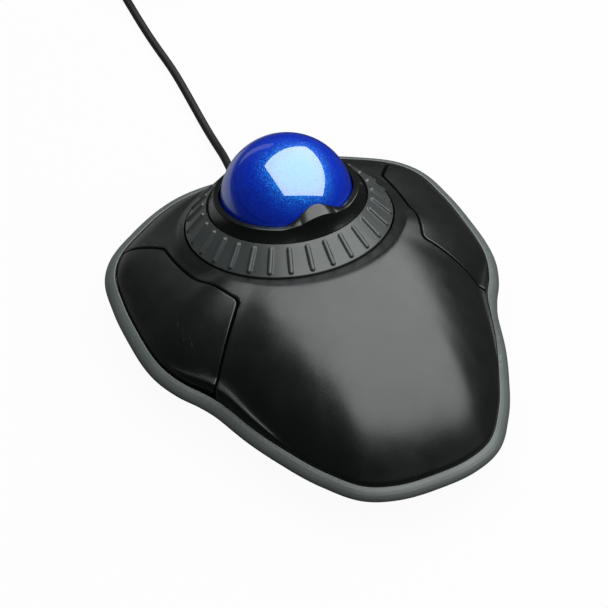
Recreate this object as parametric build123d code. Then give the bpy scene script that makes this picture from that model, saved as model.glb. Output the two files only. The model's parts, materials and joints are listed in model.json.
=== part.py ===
from build123d import *
import math
import os

import numpy as np

# Wired trackball mouse: a shield-shaped desk pointer with a ball, a scroll ring round the
# ball and two large wing buttons.  Millimetres.  +Z up, +Y towards the cable, +X to the right.
# The origin is on the desk, under the middle of the body's plan.

# ---------------------------------------------------------------- driving dimensions
BALL_R = 20.0                 # 40 mm ball
BALL_Y, BALL_Z = 32.6, 37.5
TILT = 14.5                   # the ring's axis leans back by this many degrees
CORE_R = 17.8
CORE_GAP = 0.1

PLAN_Y = 2.6                  # the plan outline is drawn in polar form about (0, PLAN_Y)
# half outline of the cover's edge: (angle from +X, reach), front tip to rear middle
PLAN = [(-90, 67.6), (-80, 67.6), (-72, 66.1), (-63, 60.9), (-50, 54.1), (-36, 49.5),
        (-24, 47.3), (-15, 48.1), (-7, 50.8), (2, 53.6), (18, 57.3), (30, 61.8),
        (39, 66.0), (46, 67.2), (56, 66.3), (72, 65.5), (90, 63.0)]

EDGE_Z = 14.6                 # the cover's surface would meet its edge at this height
CREST_START = 28.0            # surface is level with the ring inside this radius
CREST_R = 34.7                # the surface's height beside the ring is taken at this radius
PALM_LIFT, REAR_LIFT = 2.5, 2.2
SOFTNESS = 0.667              # how squarely the surface rolls over towards its edge
KNEE = 0.95                   # the fall runs straight beyond this share of the way
NOSE = 0.5                    # how much steeper the palm rest ends at the front tip
SEAM_Z = 11.7                 # joint between base shell and top cover
SKIRT_TOP = 12.9              # lower wall of the cover under the buttons
COVER_T = 2.2
BUTTON_T = 2.0
BUTTON_LIP = 4.6              # depth of a button's edge below its surface
BUTTON_GAP = 0.6
BUTTON_FLOOR = 14.2           # lowest edge of a button

# outside of the rim band, top to bottom: (offset from edge, height)
BAND = [(0.4, 15.8), (1.5, 15.25), (2.4, 14.55), (3.0, 13.8), (3.3, 13.1), (3.2, 12.65),
        (2.6, 12.15), (1.6, SEAM_Z)]
BASE = [(1.35, SEAM_Z), (-2.6, 7.8), (-6.4, 4.2), (-9.3, 1.5)]  # base shell's outside
BASE_T = 2.0
FLOOR_TOP = 4.0

RING_R, RING_DROP = 31.25, 7.08     # outer edge of the scroll ring, below the ball centre
RING_TOP_R = 24.36
RING_BORE = 24.3
TRACK_R = 25.4
TRACK_PLAY = 0.05
RIBS = 30
RIB_R = 0.7
RECESS_R = 31.75
MOUTH_LOW, MOUTH_SLOPE, MOUTH_WIDE = -7.4, 0.36, 8.0   # conical mouth of the recess
WINDOWS = 36

COLLAR_R, COLLAR_TOP = 22.0, 3.5
TONGUE_TOP, TONGUE_BROW, TONGUE_HALF = 8.0, 5.9, 25.0
CUP_IN, CUP_OUT = 20.8, 22.4
BEARING_R, BEARING_PLAY = 1.25, 0.1

HINGE_X, HINGE_Z = 33.5, 21.0
PIN_R, PIN_PLAY = 1.0, 0.05
SWITCH_X, SWITCH_Y = 44.0, 20.6
PCB_Z, PCB_T = 8.0, 1.6
PLUNGER_TOP = 16.9

# places on the right half, mirrored to the left: (x, y)
SCREWS = [(15, -46), (34, 47)]
LEGS = [(29, 10), (29, 38)]
PCB_HOLES = [(18, -24), (18, 42)]
# all five feet: (x, y, radius)
FEET = [(30, 30, 6.0), (-30, 30, 6.0), (11, -33, 6.0), (-11, -33, 6.0), (0, 49, 4.5)]
# along each button's hinge pin, where the button's arms and the cradle's ears start
HINGE_ARMS = (14.6, 24.6)
EARS = (11.0, 28.2)
ARM_W = 2.4

CORD_D = 2.6
CORD_Z = 1.3
EXIT_Y, EXIT_Z = 62.0, 7.4     # middle of the wall that the grommet sits in
BOOT_TURN, BOOT_DROP, BOOT_L = 12.0, 6.0, 16.8
# the cable on the desk: straight out of the grommet, down, then back along the desk
ROUTE = [(3.5, 78.3, 5.6), (4.9, 86.0, 4.2), (5.7, 93.6, 2.4), (6.3, 101.5, CORD_Z), (6.8, 110.5, CORD_Z),
         (7.5, 121.0, CORD_Z), (8.1, 133.0, CORD_Z), (7.6, 147.0, CORD_Z), (7.8, 160.0, CORD_Z),
         (8.4, 174.0, CORD_Z), (8.5, 188.0, CORD_Z)]
# the put-away length: a round coil, entered at its left and left at its rear
COIL_X, COIL_Y = 28.0, 190.0
COIL_R = 15.6                 # to the middle of the turns
COIL_WIDE, COIL_TALL = 4, 5   # turns side by side, and layers
TIE_WIDE, TIE_T = 5.0, 0.6
TAIL = [(29.0, 209.5, 11.7), (36.0, 209.9, 10.6), (43.0, 210.8, 7.4), (49.5, 211.6, 4.8),
        (56.0, 212.0, 4.0)]
PLUG_X, PLUG_Y, PLUG_Z = 56.0, 212.0, 4.0

os.makedirs("parts", exist_ok=True)


# ---------------------------------------------------------------- outline and surface
def hermite(value, stations):
    """Smooth curve through (place, height) stations, level at both ends."""
    places = [s[0] for s in stations]
    heights = [s[1] for s in stations]
    last = len(stations) - 1
    k = min(max(int(np.searchsorted(places, value)) - 1, 0), last - 1)

    def slope(i):
        if i in (0, last):
            return 0.0
        return (heights[i + 1] - heights[i - 1]) / (places[i + 1] - places[i - 1])

    span = places[k + 1] - places[k]
    t = (value - places[k]) / span
    return (heights[k] * (1 + 2 * t) * (1 - t) ** 2 + heights[k + 1] * t * t * (3 - 2 * t)
            + span * (slope(k) * t * (1 - t) ** 2 - slope(k + 1) * t * t * (1 - t)))


def plan_point(angle):
    """Point of the cover's edge in plan; angle in degrees, mirrored about x = 0."""
    folded = (angle + 90.0) % 360.0 - 90.0
    mirrored = 180.0 - folded if folded > 90.0 else folded
    reach = hermite(mirrored, PLAN)
    a = math.radians(folded)
    return np.array([reach * math.cos(a), PLAN_Y + reach * math.sin(a)])


def plan_offset(angle, offset):
    """The edge moved outwards by offset, square to itself."""
    ahead, behind = plan_point(angle + 1.0), plan_point(angle - 1.0)
    along = (ahead - behind) / np.linalg.norm(ahead - behind)
    return plan_point(angle) + offset * np.array([along[1], -along[0]])


def plan_wire(offset, z, steps=60):
    points = [(*plan_offset(-90 + 360 * k / steps, offset), z) for k in range(steps)]
    return Wire([Spline(*points, periodic=True)])


def plan_prism(offset, low, high):
    return Solid.extrude(Face(plan_wire(offset, low)), Vector(0, 0, high - low))


def plan_stack(profile):
    """Solid bounded by the outline at each (offset, height) of a profile."""
    body = None
    for (o1, z1), (o2, z2) in zip(profile, profile[1:]):
        if z1 == z2:
            continue
        slab = Solid.make_loft([plan_wire(o1, z1), plan_wire(o2, z2)], ruled=True)
        body = slab if body is None else body + slab
    return body


ROUND = math.radians(TILT)
RING_CY = BALL_Y - RING_DROP * math.sin(ROUND)     # ring centre in plan
RING_CZ = BALL_Z - RING_DROP * math.cos(ROUND)
EDGE_ANGLES = np.arange(-90.0, 271.0, 1.0)
EDGE_POINTS = np.array([plan_point(a) for a in EDGE_ANGLES]) - [0.0, RING_CY]
EDGE_THETA = np.unwrap(np.arctan2(EDGE_POINTS[:, 1], EDGE_POINTS[:, 0]))
EDGE_REACH = np.hypot(EDGE_POINTS[:, 0], EDGE_POINTS[:, 1])


def crest(theta):
    """Height of the surface beside the ring: raised before the palm, lower on the wings."""
    s = math.sin(theta)
    ring_plane = RING_CZ - math.tan(ROUND) * CREST_R * s
    lift = PALM_LIFT * math.tanh((-s - 0.38) / 0.13) - 0.2 + REAR_LIFT * max(s, 0.0) ** 2
    return ring_plane + lift


def fall(t, power):
    """1 at the ring and 0 at the edge, rolling over; straight beyond the knee."""
    inside = min(max(t, 0.0), KNEE)
    slope = -power * SOFTNESS * KNEE ** (power - 1) * (1 - KNEE ** power) ** (SOFTNESS - 1)
    return (1 - inside ** power) ** SOFTNESS + slope * max(t - KNEE, 0.0)


def fall_power(theta):
    """2, and more at the front tip, where the palm rest stays high and ends steeply."""
    nose = min(max((-math.sin(theta) - 0.72) / 0.24, 0.0), 1.0)
    return 2 + NOSE * nose * nose * (3 - 2 * nose)


def surface_point(theta, t):
    """Point of the top surface; t runs from the ring (0) to the edge (1)."""
    reach = float(np.interp(theta, EDGE_THETA, EDGE_REACH))
    radius = CREST_START + t * (reach - CREST_START)
    z = EDGE_Z + (crest(theta) - EDGE_Z) * fall(t, fall_power(theta))
    return Vector(radius * math.cos(theta), RING_CY + radius * math.sin(theta), z)


def under_surface(drop=0.0):
    """Everything below the top surface, right and left halves, down to z = 0."""
    rows = [0.0, 0.12, 0.24, 0.36, 0.48, 0.6, 0.71, 0.81, 0.89, 0.95, 1.0, 1.06]
    grid = []
    for k in range(37):
        theta = -math.pi / 2 + math.pi * k / 36
        grid.append([surface_point(theta, t) - Vector(0, 0, drop) for t in rows])
    face = Face.make_surface_from_array_of_points(grid, tol=0.02, min_deg=3, max_deg=5)
    half = Solid.extrude(face, Vector(0, 0, -60))
    half = half & Box(140, 180, 50, align=(Align.MIN, Align.CENTER, Align.MIN))
    return half + mirror(half, about=Plane.YZ)


# ---------------------------------------------------------------- ring frame
RING_FRAME = Location((0, BALL_Y, BALL_Z), (-TILT, 0, 0))


def turned(profile):
    """Solid of revolution about the ring's axis from (radius, height) points."""
    points = [(r, 0, h) for r, h in profile]
    section = Face(Wire.make_polygon([Vector(*p) for p in points], close=True))
    return RING_FRAME * Solid.revolve(section, 360, Axis.Z)


def upright(x, y, low, high, radius):
    return Pos(x, y, low) * Cylinder(radius, high - low, align=(Align.CENTER, Align.CENTER, Align.MIN))


def block(x1, x2, y1, y2, z1, z2):
    return Pos((x1 + x2) / 2, (y1 + y2) / 2, (z1 + z2) / 2) * Box(x2 - x1, y2 - y1, z2 - z1)


def both_sides(shape):
    return [shape, mirror(shape, about=Plane.YZ)]


def save(name, *shapes):
    solids = []
    for shape in shapes:
        solids += list(shape.solids())
    body = solids[0] if len(solids) == 1 else Compound(children=solids)
    body.label = name
    export_step(body, f"parts/{name}.step")
    print(name, len(solids), round(sum(s.volume for s in solids), 1))


# ---------------------------------------------------------------- button plan
def button_wire(grow, z):
    """Right button in plan: inner arc beside the ring, front diagonal, outer edge, rear slant."""
    far = 75.0
    rear_corner = (36.9 - grow, 40.6 + grow)
    arc_middle = (35.3 - grow, 18.6)
    front_corner = (30.4 - grow, 2.6 - grow)
    front_end = (46.5 - 0.3 * grow, -13.9 - grow)
    rear_end = (49.2 - 0.7 * grow, 55.8 + 0.7 * grow)
    inner = ThreePointArc(rear_corner, arc_middle, front_corner)
    rest = Polyline(front_corner, front_end, (far, -20), (far, 60), rear_end, rear_corner)
    face = make_face(inner.edges() + rest.edges())
    corners = face.vertices().sort_by(lambda v: v.X)[:2]
    return Pos(0, 0, z) * fillet(corners, 2.4)


def button_prism(grow, low, high):
    return extrude(button_wire(grow, low), high - low, dir=(0, 0, 1))


# ---------------------------------------------------------------- housing
def base_shell():
    outside = plan_stack(BASE[::-1])
    inside = plan_stack([(o - BASE_T, z) for o, z in BASE[::-1]])
    shell = outside - (inside & block(-80, 80, -90, 90, FLOOR_TOP, SEAM_Z + 1))
    for x, y in SCREWS:
        for side in (1, -1):
            shell += upright(side * x, y, 2.5, SEAM_Z, 3.4) & outside
            shell -= upright(side * x, y, 0, SEAM_Z, 1.6)
            shell -= upright(side * x, y, 0, 4.6, 3.0)
    for x, y in PCB_HOLES:
        for side in (1, -1):
            shell += upright(side * x, y, 3.5, PCB_Z, 2.4)
            shell -= upright(side * x, y, 3.9, PCB_Z, 0.95)
    for x, y, r in FEET:
        shell -= upright(x, y, 0, 2.0, r + 0.05)
    shell += boot_place() * Pos(0, 0, -0.2) * Cylinder(4.2, 3.8) & block(-9, 9, 50, 75, 3.0, SEAM_Z)
    shell -= boot_place() * upright(0, 0, 1.72, 13.72, 3.5)
    shell -= boot_place() * upright(0, 0, -6.1, -2.1, 3.5)
    return shell - boot_place() * Cylinder(2.3, 12)


def rubber_feet():
    return [upright(x, y, 0, 2.0, r) for x, y, r in FEET]


def rim_band():
    return plan_stack(BAND[::-1]) - plan_prism(0.0, SEAM_Z - 1, BAND[0][1] + 1)


def recess():
    """Room for the ring: a tilted bore with a shallow conical mouth."""
    wide = RECESS_R + MOUTH_WIDE
    return turned([(0, -20), (RECESS_R, -20), (RECESS_R, MOUTH_LOW),
                   (wide, MOUTH_LOW + MOUTH_SLOPE * MOUTH_WIDE), (wide, 30), (0, 30)])


def surround():
    """Sloping flange of the cover that comes up to the ring."""
    inner = RECESS_R
    return turned([(inner, -8.0), (inner, -7.5), (inner + 6.5, -12.2), (inner + 6.5, -13.4),
                   (inner + 2.0, -12.0)])


def top_cover():
    above = under_surface()
    hollow = under_surface(COVER_T)
    skin = plan_prism(-0.05, SEAM_Z, 48) & above
    inner = plan_prism(-2.2, SEAM_Z - 1, SKIRT_TOP) + (plan_prism(-2.2, SKIRT_TOP - 1, 48) & hollow)
    cover = skin - inner
    cover += surround() & plan_prism(-1.0, 0, 60)
    for flank in both_sides(button_prism(BUTTON_GAP, SKIRT_TOP, 60)):
        cover -= flank
    cover -= recess()
    for x, y in SCREWS:
        for side in (1, -1):
            boss = upright(side * x, y, SEAM_Z, 45, 3.2) & hollow
            cover += boss
            cover -= upright(side * x, y, SEAM_Z - 1, SEAM_Z + 6, 1.25)
    return max(cover.solids(), key=lambda s: s.volume)


def button():
    above = under_surface()
    hollow = under_surface(BUTTON_T)
    cap = button_prism(0.0, BUTTON_FLOOR, 60) & (plan_prism(-0.5, BUTTON_FLOOR, 48) & above)
    cap -= button_prism(-1.5, 0, 60) & (plan_prism(-2.0, BUTTON_FLOOR - 1, 48) & hollow)
    cap -= under_surface(BUTTON_LIP)
    for y in HINGE_ARMS:
        cap += block(HINGE_X - 2.2, 40.5, y, y + ARM_W, HINGE_Z - 2.0, HINGE_Z + 2.0)
        cap += block(38.0, 40.5, y, y + ARM_W, HINGE_Z - 2.0, 48) & hollow
    cap -= Pos(HINGE_X, 20, HINGE_Z) * Rot(90, 0, 0) * Cylinder(PIN_R + PIN_PLAY, 40)
    cap += upright(SWITCH_X, SWITCH_Y, PLUNGER_TOP + 0.1, 48, 1.8) & hollow
    return max(cap.solids(), key=lambda s: s.volume)


# ---------------------------------------------------------------- ball, ring and their seats
def ball_cradle():
    """Cup round the ball with its deck, legs and the ears that hold the hinge pins."""
    centre = Pos(0, BALL_Y, BALL_Z)
    cup = centre * Sphere(CUP_OUT)
    web = turned([(17.0, -15.0), (TRACK_R, -15.0), (TRACK_R, -13.55), (17.0, -13.55)])
    body = cup + web + block(-36, 36, 8, 41, 13.0, 15.6)
    for x, y in LEGS:
        for side in (1, -1):
            body += upright(side * x, y, FLOOR_TOP, 13.5, 2.6)
    for y in EARS:
        for ear in both_sides(block(31.0, 36.0, y, y + ARM_W, 13.0, HINGE_Z + 2.4)):
            body += ear
    for side in (1, -1):
        body -= Pos(side * HINGE_X, 20, HINGE_Z) * Rot(90, 0, 0) * Cylinder(PIN_R + 0.02, 40)
    body -= turned([(0, -3.05), (40, -3.05), (40, 40), (0, 40)])
    body -= centre * Sphere(CUP_IN)
    body -= upright(0, BALL_Y, 5, 25, 5.5)
    body -= block(6, 11, BALL_Y - 2.5, BALL_Y + 2.5, 5, 15.0)
    for spot in bearing_spots():
        body -= Pos(*spot) * Sphere(BEARING_R + 0.03)
    return max(body.solids(), key=lambda s: s.volume)


def bearing_spots():
    reach = BALL_R + BEARING_PLAY + BEARING_R
    spots = []
    for turn in (90, 210, 330):
        a, down = math.radians(turn), math.radians(-38)
        spots.append((reach * math.cos(down) * math.cos(a),
                      BALL_Y + reach * math.cos(down) * math.sin(a),
                      BALL_Z + reach * math.sin(down)))
    return spots


def support_bearings():
    return [Pos(*spot) * Sphere(BEARING_R) for spot in bearing_spots()]


def ball_collar():
    """Glossy lip round the ball, with a tongue that rises at the front."""
    lip = turned([(19.5, -3.0), (24.0, -3.0), (24.0, -0.5), (COLLAR_R + 0.5, COLLAR_TOP - 0.3),
                  (COLLAR_R, COLLAR_TOP), (19.0, COLLAR_TOP)])
    foot = COLLAR_TOP - 0.6
    tongue = turned([(18.0, foot), (COLLAR_R + 0.6, foot), (COLLAR_R + 0.2, TONGUE_BROW),
                     (19.4, TONGUE_TOP - 0.2), (18.0, TONGUE_TOP)])
    wide = 2 * 22 * math.sin(math.radians(TONGUE_HALF))
    wedge = RING_FRAME * Pos(0, -22, 0) * Box(wide, 16, 30)
    body = lip + (tongue & wedge)
    return body - Pos(0, BALL_Y, BALL_Z) * Sphere(BALL_R + 0.5)


def ring_track():
    return turned([(22.9, -13.5), (TRACK_R, -13.5), (TRACK_R, -9.6), (28.0, -9.6), (28.0, -8.25),
                   (TRACK_R, -8.25), (TRACK_R, -3.45), (22.9, -3.45)])


def scroll_ring():
    body = turned([(RING_BORE, 0.0), (RING_TOP_R, 0.05), (RING_R, -RING_DROP), (31.0, -7.9),
                   (30.2, -7.9), (30.2, -10.5), (28.4, -10.5), (28.4, -7.9),
                   (TRACK_R + TRACK_PLAY, -7.9), (TRACK_R + TRACK_PLAY, -3.2), (RING_BORE, -3.2)])
    start, end = Vector(25.6, 0, -1.15), Vector(30.3, 0, -6.0)
    rib = Solid.make_cylinder(RIB_R, (end - start).length, Plane(start, z_dir=end - start))
    rib = rib + Pos(*start) * Sphere(RIB_R) + Pos(*end) * Sphere(RIB_R)
    for k in range(RIBS):
        body += RING_FRAME * Rot(0, 0, 6.0 + 360 * k / RIBS) * rib
    return body


def encoder_ring():
    """Windowed drum under the scroll ring; its flange hooks under the track."""
    flange = turned([(26.6, -11.6), (30.2, -11.6), (30.2, -10.5), (26.6, -10.5)])
    drum = turned([(28.6, -15.0), (29.4, -15.0), (29.4, -11.4), (28.6, -11.4)])
    for k in range(WINDOWS):
        drum -= RING_FRAME * Rot(0, 0, 360 * k / WINDOWS) * Pos(29, 0, -14) * Box(4, 2.4, 3.2)
    return flange + drum


def ring_sensor():
    """Forked light barrier that straddles the drum at its front."""
    fork = Pos(0, -29, -15.1) * Box(11, 6.2, 5.0)
    slot = Pos(0, -29, -13.4) * Box(20, 2.0, 4.4)
    return RING_FRAME * (fork - slot)


def ring_sensor_board():
    return RING_FRAME * Pos(0, -29.5, -18.3) * Box(14, 9, 1.2)


# ---------------------------------------------------------------- electronics
def main_pcb():
    board = block(-22, 22, -30, 46, PCB_Z, PCB_Z + PCB_T)
    board += block(-48.5, 48.5, 14.5, 26.5, PCB_Z, PCB_Z + PCB_T)
    for x, y in PCB_HOLES:
        for side in (1, -1):
            board -= upright(side * x, y, 0, 20, 1.2)
    return board


def microswitch():
    top = PCB_Z + PCB_T
    body = block(SWITCH_X - 2.9, SWITCH_X + 2.9, SWITCH_Y - 6.4, SWITCH_Y + 6.4, top, top + 6.5)
    return body - block(SWITCH_X - 1.0, SWITCH_X + 1.0, SWITCH_Y - 1.6, SWITCH_Y + 1.6, 12.4, 20)


def plunger():
    return block(SWITCH_X - 0.9, SWITCH_X + 0.9, SWITCH_Y - 1.5, SWITCH_Y + 1.5, 13.2, PLUNGER_TOP)


def chip(x, y, wide, deep, high):
    top = PCB_Z + PCB_T
    return block(x - wide / 2, x + wide / 2, y - deep / 2, y + deep / 2, top, top + high)


def screw(x, y, head_low, head_r, head_h, shank_r, top):
    return upright(x, y, head_low, head_low + head_h, head_r) + upright(x, y, head_low, top, shank_r)


def housing_screws():
    made = []
    for x, y in SCREWS:
        for side in (1, -1):
            made.append(screw(side * x, y, 2.6, 2.8, 2.0, 1.2, 17.0))
    return made


def board_screws():
    made = []
    for x, y in PCB_HOLES:
        for side in (1, -1):
            pin = upright(side * x, y, 4.4, 11.0, 0.9)
            made.append(pin + upright(side * x, y, PCB_Z + PCB_T, 11.0, 2.0))
    return made


# ---------------------------------------------------------------- cord
def route_radii(points):
    radii = []
    for a, b, c in zip(points, points[1:], points[2:]):
        before, after = Vector(b) - Vector(a), Vector(c) - Vector(b)
        half = math.radians(before.get_angle(after)) / 2
        radii.append(0.45 * min(before.length, after.length) / math.tan(half))
    return radii


def cable_path(points, radius):
    path = FilletPolyline(*points, radius=route_radii(points))
    section = Plane(path @ 0, z_dir=path % 0) * Circle(radius)
    return sweep(section, path), path


def inner_cable():
    """The cable's cores from the board's socket to the grommet."""
    points = [(0, 48.1, 13.0), (0, 52.0, 12.8), (0.2, 56.0, 10.4), (0.2, 59.4, 8.0),
              (-0.8, EXIT_Y - 3.9, 7.6)]
    return cable_path(points, 0.9)[0]


def strain_relief():
    """Rubber grommet: flanges each side of the wall and a tapered, grooved boot."""
    profile = [(0, -3.6), (3.2, -3.6), (3.2, -2.15), (2.25, -2.15), (2.25, 1.75), (3.3, 1.75), (3.3, 3.0),
               (2.9, 3.3), (1.8, BOOT_L), (0, BOOT_L)]
    points = [Vector(r, 0, h) for r, h in profile]
    boot = Solid.revolve(Face(Wire.make_polygon(points, close=True)), 360, Axis.Z)
    for k in range(5):
        outer = Cylinder(5, 0.7) - Cylinder(2.2 - 0.15 * k, 0.7)
        boot -= Pos(0, 0, 5.2 + 2.2 * k) * (outer - Box(1.4, 20, 2))
    return boot_place() * boot


def boot_place():
    """The boot leans a little to the right and down towards the desk."""
    return Pos(0, EXIT_Y, EXIT_Z) * Rot(0, 0, -BOOT_TURN) * Rot(-90 - BOOT_DROP, 0, 0)


def cord_run():
    body, path = cable_path(ROUTE, CORD_D / 2)
    radii = ", ".join(f"{r:.0f}" for r in route_radii(ROUTE))
    share = body.volume / (math.pi * CORD_D ** 2 / 4 * path.length)
    print(f"cord_run length {path.length:.1f}, radii {radii}, volume over section x length {share:.4f}")
    return body


def cord_tail():
    body, path = cable_path(TAIL, CORD_D / 2)
    radii = ", ".join(f"{r:.0f}" for r in route_radii(TAIL))
    print(f"cord_tail length {path.length:.1f}, radii {radii}")
    return body


def coil_section(grow=0.0):
    wide, tall = COIL_WIDE * CORD_D + 2 * grow, COIL_TALL * CORD_D + 2 * grow
    return Pos(COIL_R, 0, COIL_TALL * CORD_D / 2) * Rot(90, 0, 0) * RectangleRounded(wide, tall, 1.2 + grow)


def cord_coil():
    """Outer shape of the wound rest of the cord, lying flat on the desk."""
    ring = revolve(coil_section(), Axis.Z)
    return Pos(COIL_X, COIL_Y, 0) * (ring - tie_strap())


def tie_strap():
    """Strap round the coil, let into its underside so that the coil lies flat."""
    outer = Pos(COIL_R, 0, COIL_TALL * CORD_D / 2 + TIE_T / 2) * Box(
        COIL_WIDE * CORD_D + 2 * TIE_T, TIE_WIDE, COIL_TALL * CORD_D + TIE_T)
    inner = Pos(COIL_R, 0, COIL_TALL * CORD_D / 2 + TIE_T / 2) * Box(
        COIL_WIDE * CORD_D, TIE_WIDE, COIL_TALL * CORD_D - TIE_T)
    return Rot(0, 0, -60) * (outer - inner)


def coil_tie():
    return Pos(COIL_X, COIL_Y, 0) * tie_strap()


def usb_plug_body():
    """Moulded grip with a short tapered tail for the cord."""
    grip = Pos(21.0, 0, 0) * Box(20, 15.6, 7.8)
    grip = fillet(grip.edges(), 1.4)
    tail = Solid.make_cone(2.2, 3.4, 11.6, Plane((0, 0, 0), z_dir=(1, 0, 0)))
    bore = Pos(28.5, 0, 0) * Box(6.2, 12.1, 4.6)
    return Pos(PLUG_X, PLUG_Y, PLUG_Z) * (grip + tail - bore)


def usb_plug_shell():
    """Folded metal sleeve of a standard A plug, with its two latch windows."""
    sleeve = Pos(34.75, 0, 0) * Box(18.5, 12.0, 4.5) - Pos(35.9, 0, 0) * Box(18.5, 11.4, 3.9)
    for y in (-2.9, 2.9):
        sleeve -= Pos(38.2, y, 2.1) * Box(2.4, 2.2, 1.2)
    return Pos(PLUG_X, PLUG_Y, PLUG_Z) * sleeve


def usb_plug_tongue():
    return Pos(PLUG_X, PLUG_Y, PLUG_Z) * Pos(35.3, 0, -1.0) * Box(16.7, 11.3, 1.8)


# ---------------------------------------------------------------- remaining small pieces
def hinge_pin():
    low, high = EARS[0] - 0.6, EARS[1] + 3.0
    middle = (low + high) / 2
    return Pos(HINGE_X, middle, HINGE_Z) * Rot(90, 0, 0) * Cylinder(PIN_R, high - low)


def trackball():
    ball = Sphere(BALL_R) - Sphere(CORE_R + CORE_GAP)
    return Pos(0, BALL_Y, BALL_Z) * ball


def ball_core():
    return Pos(0, BALL_Y, BALL_Z) * Sphere(CORE_R)


def sensor_lens():
    """Clear pad on the sensor with a domed top that looks up at the ball."""
    base = upright(0, BALL_Y, 11.7, 13.2, 4.0)
    dome = Pos(0, BALL_Y, 10.9) * Sphere(3.6) & upright(0, BALL_Y, 13.0, 16, 3.0)
    return base + dome


def sensor_led():
    return upright(8.5, BALL_Y, PCB_Z + PCB_T, 13.4, 1.5) + Pos(8.5, BALL_Y, 13.4) * Sphere(1.5)


def capacitors():
    low = PCB_Z + PCB_T
    return [upright(x, -22, low, low + 7.0, 2.5) for x in (-6, 6)]


def cable_socket():
    body = chip(0, 44.5, 9.0, 5.0, 5.2)
    return body - block(-3.8, 3.8, 45.5, 60, 11.2, 13.9)


if __name__ == "__main__":
    right = button()
    right_pin = hinge_pin()
    parts = {
        "base_shell": [base_shell()],
        "rubber_feet": rubber_feet(),
        "rim_band": [rim_band()],
        "top_cover": [top_cover()],
        "ball_cradle": [ball_cradle()],
        "support_bearings": support_bearings(),
        "ball_collar": [ball_collar()],
        "ring_track": [ring_track()],
        "ring_sensor": [ring_sensor()],
        "ring_sensor_board": [ring_sensor_board()],
        "main_pcb": [main_pcb()],
        "optical_sensor": [chip(0, BALL_Y, 9.0, 9.0, 2.1)],
        "sensor_lens": [sensor_lens()],
        "sensor_led": [sensor_led()],
        "controller_chip": [chip(0, -4, 10.0, 7.5, 1.75)],
        "capacitors": capacitors(),
        "cable_socket": [cable_socket()],
        "inner_cable": [inner_cable()],
        "housing_screws": housing_screws(),
        "board_screws": board_screws(),
        "right_switch": [microswitch()],
        "left_switch": [mirror(microswitch(), about=Plane.YZ)],
        "right_hinge_pin": [right_pin],
        "left_hinge_pin": [mirror(right_pin, about=Plane.YZ)],
        "right_switch_plunger": [plunger()],
        "left_switch_plunger": [mirror(plunger(), about=Plane.YZ)],
        "right_button": [right],
        "left_button": [mirror(right, about=Plane.YZ)],
        "scroll_ring": [scroll_ring()],
        "encoder_ring": [encoder_ring()],
        "ball_core": [ball_core()],
        "trackball": [trackball()],
        "strain_relief": [strain_relief()],
        "cord_run": [cord_run()],
        "cord_coil": [cord_coil()],
        "cord_tail": [cord_tail()],
        "coil_tie": [coil_tie()],
        "usb_plug_body": [usb_plug_body()],
        "usb_plug_shell": [usb_plug_shell()],
        "usb_plug_tongue": [usb_plug_tongue()],
    }
    for name, shapes in parts.items():
        save(name, *shapes)
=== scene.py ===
import json
import math

import bmesh
import bpy
import numpy as np
from mathutils import Matrix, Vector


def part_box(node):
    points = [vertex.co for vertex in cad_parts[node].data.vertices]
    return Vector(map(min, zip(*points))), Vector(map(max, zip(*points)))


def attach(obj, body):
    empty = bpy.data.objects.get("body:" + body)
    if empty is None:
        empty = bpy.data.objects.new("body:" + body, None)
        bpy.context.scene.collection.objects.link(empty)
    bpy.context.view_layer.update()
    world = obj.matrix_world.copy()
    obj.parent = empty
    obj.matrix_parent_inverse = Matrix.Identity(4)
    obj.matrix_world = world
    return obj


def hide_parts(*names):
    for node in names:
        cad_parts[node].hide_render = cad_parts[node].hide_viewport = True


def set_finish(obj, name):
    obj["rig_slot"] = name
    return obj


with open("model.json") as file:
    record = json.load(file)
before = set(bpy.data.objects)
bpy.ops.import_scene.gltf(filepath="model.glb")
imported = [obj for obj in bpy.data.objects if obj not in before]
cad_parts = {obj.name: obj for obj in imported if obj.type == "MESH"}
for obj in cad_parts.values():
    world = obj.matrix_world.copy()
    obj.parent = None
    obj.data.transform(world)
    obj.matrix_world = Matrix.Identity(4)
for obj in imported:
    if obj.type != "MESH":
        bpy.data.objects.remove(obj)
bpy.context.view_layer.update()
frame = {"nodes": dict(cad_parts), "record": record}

# Wired trackball mouse.  Shapes are worked out in millimetres, in the frame of the CAD model
# (+Z up, +Y towards the cord), and written to the meshes in metres.
MM = 0.001

# ---------------------------------------------------------------- driving dimensions
ball_low, ball_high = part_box("trackball")
BALL = np.array([(a + b) * 500.0 for a, b in zip(ball_low, ball_high)])   # middle of the ball
BALL_R = 20.0
TILT = math.radians(14.5)                              # lean of the ring's axis
PLAN_Y = 2.6
# half outline of the cover's edge: (angle from +X, reach), front tip to rear middle
PLAN = [(-90, 67.6), (-80, 67.6), (-72, 66.1), (-63, 60.9), (-50, 54.1), (-36, 49.5),
        (-24, 47.3), (-15, 48.1), (-7, 50.8), (2, 53.6), (18, 57.3), (30, 61.8),
        (39, 66.0), (46, 67.2), (56, 66.3), (72, 65.5), (90, 63.0)]
EDGE_Z = 14.6                                          # cover's surface at its edge
CREST_START = 28.0                                     # level with the ring inside this radius
CREST_R = 34.7                                         # the height beside the ring is taken here
PALM_LIFT, REAR_LIFT = 2.5, 2.2
SOFTNESS = 0.667                                       # how squarely it rolls over to the edge
KNEE = 0.95                                            # the fall runs straight beyond this share
NOSE = 0.5                                             # how much steeper the palm ends at the tip
SEAM_Z = 11.7                                          # joint with the base shell
SKIRT_TOP = 12.9                                       # cover's lower wall under the buttons
COVER_EDGE = -0.05                                     # cover stops this far inside the band
WALL = 2.2
BAND = [(0.05, 15.75), (0.4, 15.8), (1.5, 15.25), (2.4, 14.55), (3.0, 13.8), (3.3, 13.1),
        (3.2, 12.65), (2.6, 12.15), (1.6, SEAM_Z), (0.05, SEAM_Z)]   # (offset from edge, height)

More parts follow.
